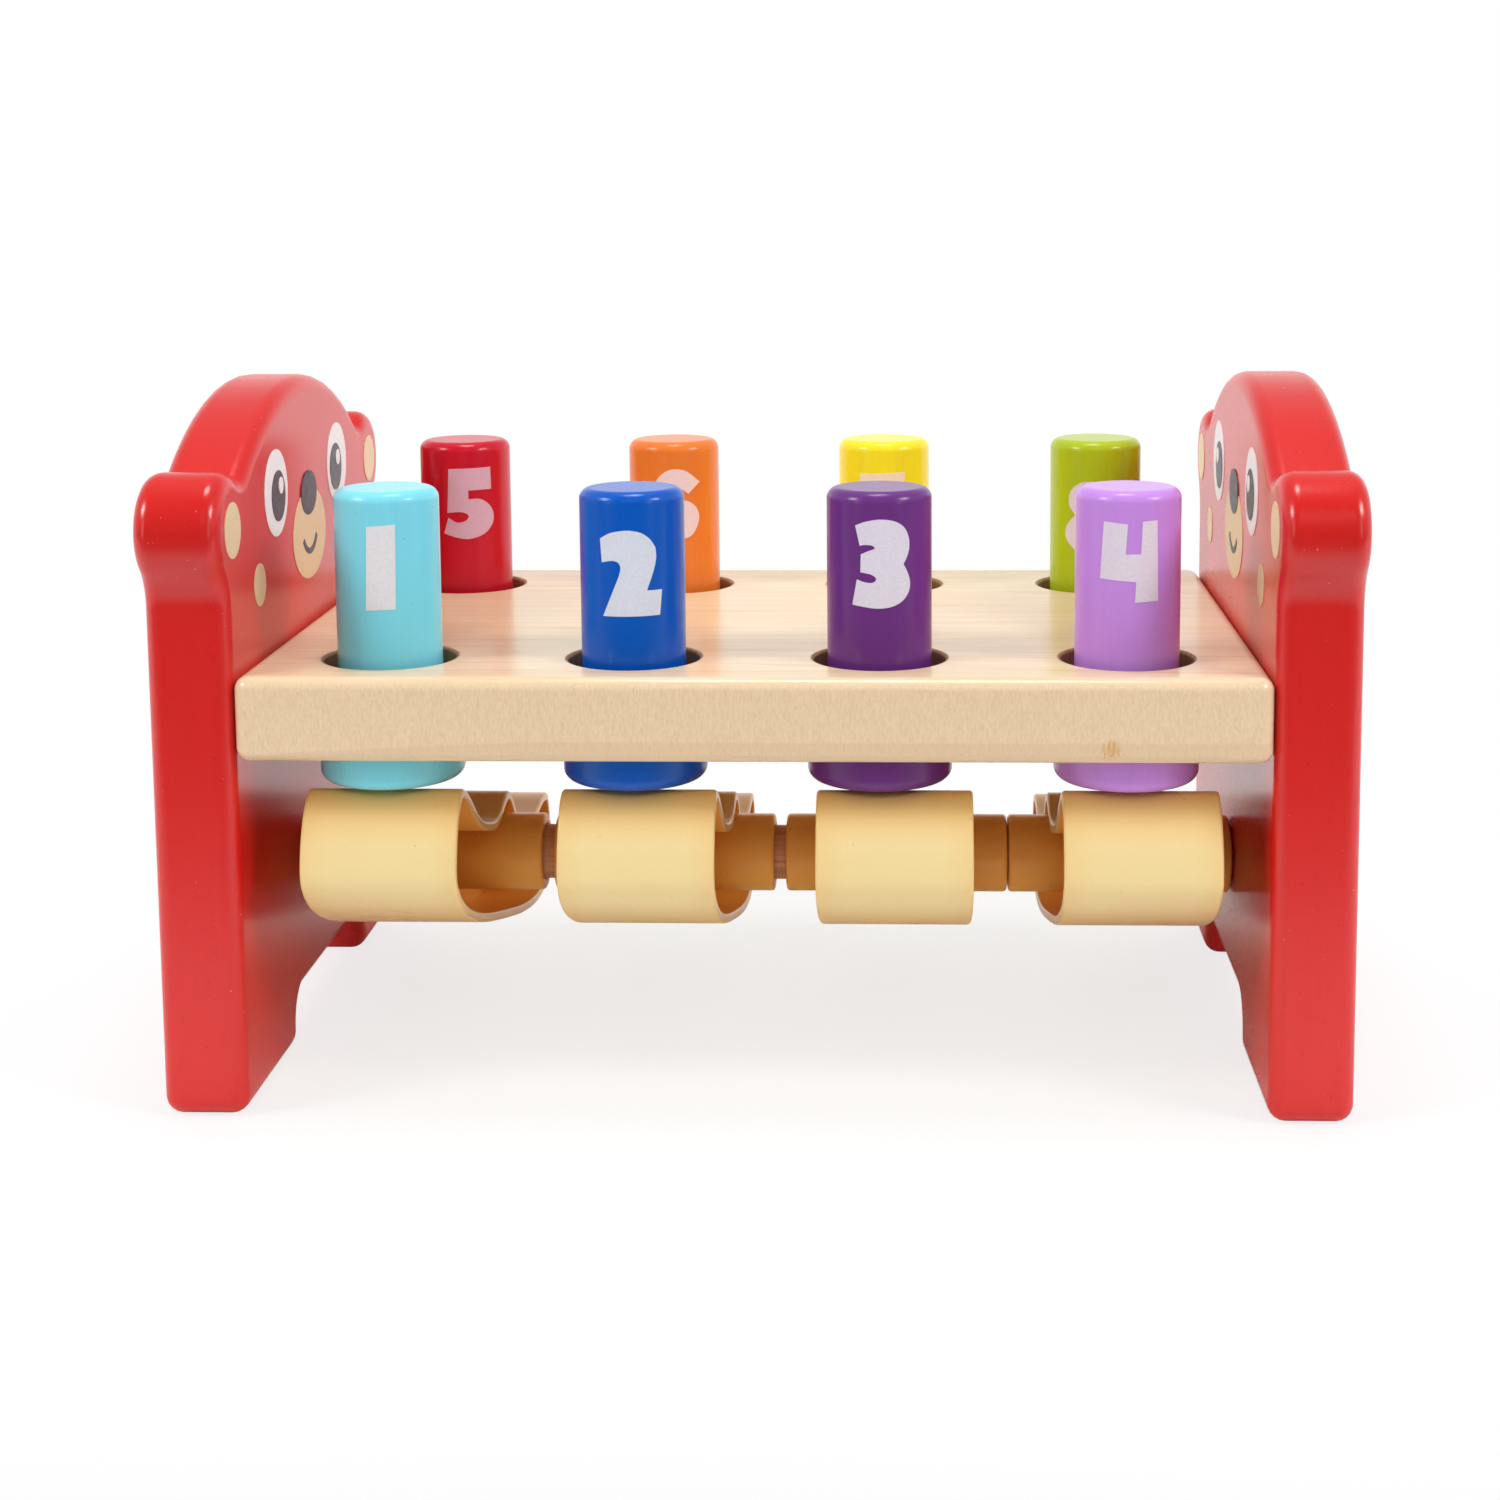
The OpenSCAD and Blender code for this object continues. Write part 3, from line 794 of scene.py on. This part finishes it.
# Chunky numerals about their own middle and foot, as runs of points, with any holes after the outline
NUMERALS = {
    1: [[[(-2.8, 0.0), (3.1, 0.2)], [(3.4, 17.3), (-2.2, 16.9)]]],
    2: [[
        [(-6.0, 15.6), (-4.1, 16.7), (-2.0, 17.2), (0.1, 17.3), (2.2, 16.8), (3.8, 15.6), (4.9, 13.8)],
        [(4.9, 13.7), (5.0, 11.7), (4.5, 9.1), (3.2, 5.2)],
        [(6.0, 5.2), (5.6, 0.1)],
        [(-5.6, 0.0), (-2.2, 8.3)],
        [(-2.2, 8.4), (-1.9, 9.7), (-2.2, 10.7), (-3.1, 11.2), (-4.4, 11.1), (-5.7, 10.8)],
    ]],
    3: [[
        [(-5.2, 16.5), (-3.3, 17.3), (-0.4, 17.8), (2.5, 17.4), (4.4, 16.1), (5.3, 14.0), (5.4, 11.9)],
        [(5.4, 11.8), (5.0, 10.3), (4.3, 8.8)],
        [(4.3, 8.7), (5.0, 7.2), (5.5, 5.3), (5.3, 3.2), (4.1, 1.4), (2.0, 0.3), (-0.9, 0.0), (-3.8, 0.3)],
        [(-5.8, 0.6)],
        [(-4.9, 5.7), (-3.3, 5.2), (-1.7, 5.2), (-1.1, 6.0), (-2.1, 6.8), (-4.2, 7.2)],
        [(-4.1, 10.8), (-2.6, 11.5), (-1.4, 12.0), (-1.9, 12.6), (-3.3, 12.7), (-4.3, 12.5)],
    ]],
    4: [[
        [(-5.0, 16.0), (-0.4, 15.6)],
        [(-0.8, 9.6), (2.2, 9.6)],
        [(2.5, 16.1), (5.4, 16.3)],
        [(5.7, 0.2), (1.1, 0.0)],
        [(1.3, 4.1), (-5.6, 4.6)],
    ]],
    5: [[
        [(-4.2, 16.6), (5.1, 16.8)],
        [(5.2, 11.6), (0.3, 11.5)],
        [(0.3, 9.4), (3.1, 9.3), (5.2, 7.1), (5.5, 3.9), (3.8, 1.2), (0.5, 0.0), (-2.7, 0.4), (-5.6, 1.3)],
        [(-4.5, 5.0), (-2.4, 3.9), (-0.5, 4.3), (0.3, 5.5), (-1.3, 6.4), (-4.7, 6.2)],
    ]],
    6: [
        [
            [
                (5.5, 13.6), (2.2, 16.4), (-1.8, 16.4), (-4.7, 13.5),
                (-5.6, 9.0), (-5.1, 4.0), (-3.0, 0.9), (0.3, 0.0),
            ],
            [(0.4, 0.0), (3.6, 1.0), (5.2, 4.2), (4.9, 7.2), (3.0, 9.1), (0.4, 9.3), (-0.9, 8.8)],
            [(-0.9, 8.9), (-0.7, 10.8), (0.9, 12.2), (3.0, 10.9)],
        ],
        [ellipse((0.2, 4.9), 1.7, 1.9, TINY_ROUND)],
    ],
    7: [[
        [(-5.3, 16.2), (5.2, 16.6)],
        [(5.0, 13.0), (2.2, 6.4), (0.8, 0.0)],
        [(-4.1, 0.3), (-0.2, 11.9)],
        [(-5.0, 11.8)],
    ]],
    8: [
        [
            [(-3.4, 9.2), (-4.7, 11.4), (-4.4, 14.6), (-2.4, 16.6), (0.0, 17.1)],
            [(0.1, 17.1), (2.4, 16.6), (4.4, 14.6), (4.7, 11.4), (3.4, 9.2)],
            [(3.5, 8.9), (5.2, 6.4), (5.3, 3.4), (3.2, 0.8), (0.0, 0.0)],
            [(-0.1, 0.0), (-3.2, 0.8), (-5.3, 3.4), (-5.2, 6.4), (-3.5, 8.9)],
        ],
        [ellipse((0.0, 12.8), 1.4, 1.4, TINY_ROUND)],
        [ellipse((0.0, 4.9), 1.7, 1.7, TINY_ROUND)],
    ],
}

# Where each numeral stands: its middle beside the middle of the peg, and its foot above the board
NUMERAL_PLACE = {
    1: (0.4, 11.4),
    2: (0.68, 10.2),
    3: (0.6, 11.9),
    4: (-0.54, 13.1),
    5: (2.1, 12.4),
    6: (1.2, 12.1),
    7: (-0.3, 11.4),
    8: (-1.9, 8.7),
}


def add_numeral(number):
    """A printed numeral that follows the round front of its peg."""
    peg = f"peg_{number}"
    axis = middle(peg)
    board_top = box_mm("board")[1].z
    aside, foot = NUMERAL_PLACE[number]
    outlines = [outline_of(runs) for runs in NUMERALS[number]]
    count = int(PEG_RADIUS / NUMERAL_SLICE)
    mesh = flat_shape(outlines, [i * NUMERAL_SLICE for i in range(-count, count + 1)])

    def wrapped(u, v, top):
        radius = PEG_RADIUS + (PRINT_LAYER if top else -PRINT_SINK)
        turn = math.asin((u + aside) / PEG_RADIUS)
        return (axis.x + radius * math.sin(turn), axis.y - radius * math.cos(turn), board_top + foot + v)

    ink = printed_film(f"numeral_{number}_ink", PEG_PAINT[peg][1])
    return add_piece(f"numeral_{number}", thicken(mesh, wrapped), [ink], peg)


# The face on each panel, from its middle line and up from the floor
EYE = (27.0, 121.5)
EYE_RADIUS = 9.2
PUPIL_RADIUS = 5.4
PUPIL_OFFSET = (1.4, 0.8)
GLINT_RADIUS = 1.8
GLINT_OFFSET = (1.8, 2.0)
NOSE = (0.0, 118.0)
NOSE_HALF = (6.8, 4.9)
MUZZLE = (0.0, 109.0)
MUZZLE_HALF = (14.5, 10.0)
CHEEK = (42.0, 104.5)
CHEEK_RADIUS = 4.4
EAR_PATCH_RADIUS = 5.6
SMILE_LIFT = 3.0
SMILE_RADIUS = 7.0
SMILE_WIDTH = 1.3
SMILE_START = 215
SMILE_END = 325


def smile():
    """A thin bow below the nose."""
    centre = (MUZZLE[0], MUZZLE[1] + SMILE_LIFT)
    lower = arc_points(centre, SMILE_RADIUS + SMILE_WIDTH / 2, SMILE_START, SMILE_END)
    upper = arc_points(centre, SMILE_RADIUS - SMILE_WIDTH / 2, SMILE_END, SMILE_START)
    return lower + upper


def face_shapes():
    """Each colour of the face, as outlines in the YZ plane with the layer that they lie in."""
    high = box_mm("right_panel")[1]
    ear_y = high.y - EAR_RADIUS
    ear_z = high.z - EAR_DROP
    white = []
    dark = [(ellipse(NOSE, *NOSE_HALF), 2), (smile(), 2)]
    tan = [(ellipse(MUZZLE, *MUZZLE_HALF), 1)]
    for side in (-1, 1):
        eye = (side * EYE[0], EYE[1])
        pupil = (eye[0] - side * PUPIL_OFFSET[0], eye[1] - PUPIL_OFFSET[1])
        glint = (pupil[0] + GLINT_OFFSET[0], pupil[1] + GLINT_OFFSET[1])
        white.append((circle(eye, EYE_RADIUS, MEDIUM_ROUND), 1))
        white.append((circle(glint, GLINT_RADIUS, TINY_ROUND), 3))
        dark.append((circle(pupil, PUPIL_RADIUS, MEDIUM_ROUND), 2))
        tan.append((circle((side * CHEEK[0], CHEEK[1]), CHEEK_RADIUS, SMALL_ROUND), 1))
        tan.append((circle((side * ear_y, ear_z), EAR_PATCH_RADIUS, MEDIUM_ROUND), 1))
    return {"white": white, "dark": dark, "tan": tan}


def add_face(side, name, inks):
    """A plain animal face printed on a panel's inner side."""
    low, high = box_mm(f"{name}_panel")
    inner = high.x if side < 0 else low.x
    for colour, shapes in face_shapes().items():
        plates = []
        for outline, layer in shapes:

            def laid(y, z, top, layer=layer):
                rise = layer * PRINT_LAYER if top else -PRINT_SINK
                return (inner - side * rise, y, z)

            plates.append(thicken(flat_shape([outline]), laid))
        add_piece(f"{name}_face_{colour}", join(plates), [inks[colour]], "bench")


def dress(node, material):
    """Gives a node of the frame its material."""
    piece = bpy.data.objects[node]
    piece.data.materials.clear()
    piece.data.materials.append(material)


def add_floor():
    """A pale floor that keeps a soft shadow near the bench and goes over into the white background."""
    mesh = bmesh.new()
    bmesh.ops.create_grid(mesh, x_segments=FLOOR_SQUARES, y_segments=FLOOR_SQUARES, size=FLOOR_HALF)
    data = bpy.data.meshes.new("floor")
    mesh.to_mesh(data)
    mesh.free()
    floor = bpy.data.objects.new("floor", data)
    bpy.context.scene.collection.objects.link(floor)

    shader = Shader("floor_white", 0.7, 0.0)
    place = shader.place()
    along_y = shader.add("SeparateXYZ", {"Vector": place}).outputs["Y"]
    tone = shader.mix(shader.span(along_y, DARK_BEFORE, PALE_BEHIND, 0.0, 1.0), FLOOR_DARK, FLOOR_PALE)
    shader.put(shader.surface.inputs["Base Color"], tone)
    reach = shader.tree.nodes.new("ShaderNodeVectorMath")
    reach.operation = "LENGTH"
    shader.put(reach.inputs[0], place)
    path = shader.add("LightPath", {}).outputs
    bright = shader.span(reach.outputs["Value"], SHADOW_NEAR, SHADOW_FAR, SHADOW_WHITE, 1.0)
    looked_at = shader.math("MULTIPLY", path["Is Camera Ray"], bright)
    behind = shader.span(along_y, MIRROR_FROM, MIRROR_FULL, 0.0, 1.0)
    mirrored = shader.math("MULTIPLY", path["Is Glossy Ray"], behind)
    white = shader.add("Emission", {"Color": WHITE, "Strength": 1.0}).outputs["Emission"]
    mixed = shader.add("MixShader", {"Fac": shader.math("MAXIMUM", looked_at, mirrored)})
    shader.put(mixed.inputs[1], shader.surface.outputs["BSDF"])
    shader.put(mixed.inputs[2], white)
    shader.put(shader.tree.nodes["Material Output"].inputs["Surface"], mixed.outputs["Shader"])
    data.materials.append(shader.material)


def light_world():
    """A white surround where it is seen, which lights the bench from behind more than from the front."""
    world = bpy.data.worlds.new("studio")
    bpy.context.scene.world = world
    world.use_nodes = True
    nodes = world.node_tree.nodes
    links = world.node_tree.links
    background = nodes["Background"]
    background.inputs["Color"].default_value = WHITE
    direction = nodes.new("ShaderNodeTexCoord")
    split = nodes.new("ShaderNodeSeparateXYZ")
    links.new(direction.outputs["Generated"], split.inputs["Vector"])

    def spanned(axis, reach, to_low, to_high):
        node = nodes.new("ShaderNodeMapRange")
        sockets = {"From Min": reach[0], "From Max": reach[1], "To Min": to_low, "To Max": to_high}
        for socket, value in sockets.items():
            node.inputs[socket].default_value = value
        links.new(split.outputs[axis], node.inputs["Value"])
        return node.outputs["Result"]

    level = nodes.new("ShaderNodeMath")
    level.operation = "MULTIPLY"
    links.new(spanned("Y", FRONT_TO_BACK, FRONT_LEVEL, BACK_LEVEL), level.inputs[0])
    links.new(spanned("Z", LEVEL_TO_OVERHEAD, 1.0, OVERHEAD_LEVEL), level.inputs[1])
    path = nodes.new("ShaderNodeLightPath")
    seen = nodes.new("ShaderNodeMix")
    seen.inputs["B"].default_value = 1.0
    links.new(path.outputs["Is Camera Ray"], seen.inputs["Factor"])
    links.new(level.outputs["Value"], seen.inputs["A"])
    links.new(seen.outputs["Result"], background.inputs["Strength"])


def add_lamp(name, place, size, power, mirrored):
    """A soft box, given its width and height, that faces the middle of the bench."""
    data = bpy.data.lights.new(name, "AREA")
    data.shape = "RECTANGLE"
    data.size, data.size_y = size
    data.energy = power
    lamp = bpy.data.objects.new(name, data)
    lamp.location = place
    lamp.visible_glossy = mirrored
    aim = Vector(LAMP_TARGET) - Vector(place)
    lamp.rotation_euler = aim.to_track_quat("-Z", "Y").to_euler()
    bpy.context.scene.collection.objects.link(lamp)


def add_camera():
    """The camera at the photograph's place, a little above the board and right of its middle."""
    data = bpy.data.cameras.new("camera")
    data.sensor_fit = "HORIZONTAL"
    data.sensor_width = CAMERA_SENSOR
    data.lens = CAMERA_LENS
    data.shift_x, data.shift_y = CAMERA_SHIFT
    yaw, pitch, roll = (math.radians(a) for a in (CAMERA_YAW, CAMERA_PITCH, CAMERA_ROLL))
    flat = Vector((math.sin(yaw), math.cos(yaw), 0.0))
    forward = math.cos(pitch) * flat - math.sin(pitch) * Vector((0.0, 0.0, 1.0))
    level = Vector((math.cos(yaw), -math.sin(yaw), 0.0))
    upright = level.cross(forward)
    right = math.cos(roll) * level + math.sin(roll) * upright
    up = math.cos(roll) * upright - math.sin(roll) * level
    camera = bpy.data.objects.new("camera", data)
    axes = Matrix((right, up, -forward)).transposed()
    camera.matrix_world = Matrix.Translation(Vector(CAMERA_PLACE) * MM) @ axes.to_4x4()
    bpy.context.scene.collection.objects.link(camera)
    bpy.context.scene.camera = camera


def build():
    """Every piece of the bench, and the finish of the frame's own nodes."""
    red = painted_wood("panel_red", PANEL_RED, texture=1.2, gloss=0.5, dust=0.35)
    for side, name in ((-1, "left"), (1, "right")):
        add_panel(side, name, red)
        dress(f"{name}_screw_caps", red)
    add_board()
    dress("axle", bare_wood("axle_brown", AXLE_BROWN, X_AXIS))
    for number in ROCKER_NUMBERS:
        add_rocker(number)
    for number in PEG_NUMBERS:
        colour = PEG_PAINT[f"peg_{number}"][0]
        paint = painted_wood(f"peg_{number}_paint", colour, texture=0.8, gloss=0.35)
        dress(f"peg_{number}", paint)
        add_numeral(number)
    inks = {
        "white": printed_film("face_white", PRINT_WHITE),
        "dark": printed_film("face_dark", PRINT_DARK),
        "tan": printed_film("face_tan", PRINT_TAN),
    }
    for side, name in ((-1, "left"), (1, "right")):
        add_face(side, name, inks)
    steel = brushed_steel()
    dowel = bare_wood("dowel_pale", DOWEL_PALE, X_AXIS)
    for name in ("left", "right"):
        dress(f"{name}_screws", steel)
        dress(f"{name}_locating_dowels", dowel)


build()
add_floor()
light_world()
for name, (place, size, power, mirrored) in LAMPS.items():
    add_lamp(name, place, size, power, mirrored)
add_camera()
bpy.context.scene.view_settings.view_transform = "Standard"
